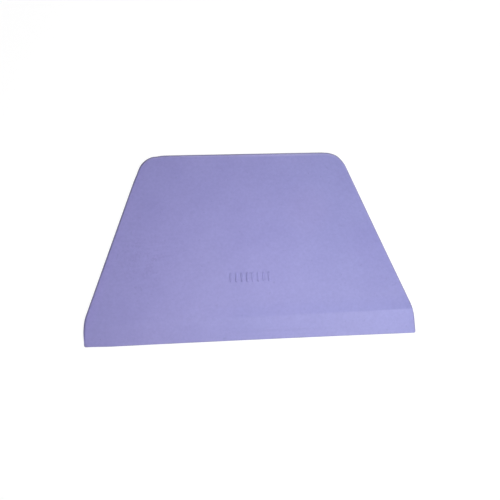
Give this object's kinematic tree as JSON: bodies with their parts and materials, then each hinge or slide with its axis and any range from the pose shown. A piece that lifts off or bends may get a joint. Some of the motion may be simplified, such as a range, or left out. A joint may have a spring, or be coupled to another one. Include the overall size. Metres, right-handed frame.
{
  "type": "icing smoother",
  "caption": "Flat trapezoidal hand smoother for icing and dough, with a long bevelled blade edge, rounded back corners and a rounded rim.",
  "frame": {"origin": "centre of the plate's bounding box at the height of its flat underside", "axes": "+X along the blade edge, +Y from the blade edge to the back edge, +Z out of the bevelled face"},
  "size_m": [0.216, 0.128, 0.0037],
  "materials": {
    "lavender_plastic": "matt moulded plastic, lavender, even all over"
  },
  "bodies": {
    "root": {"smoother_plate": "lavender_plastic"}
  },
  "joints": []
}
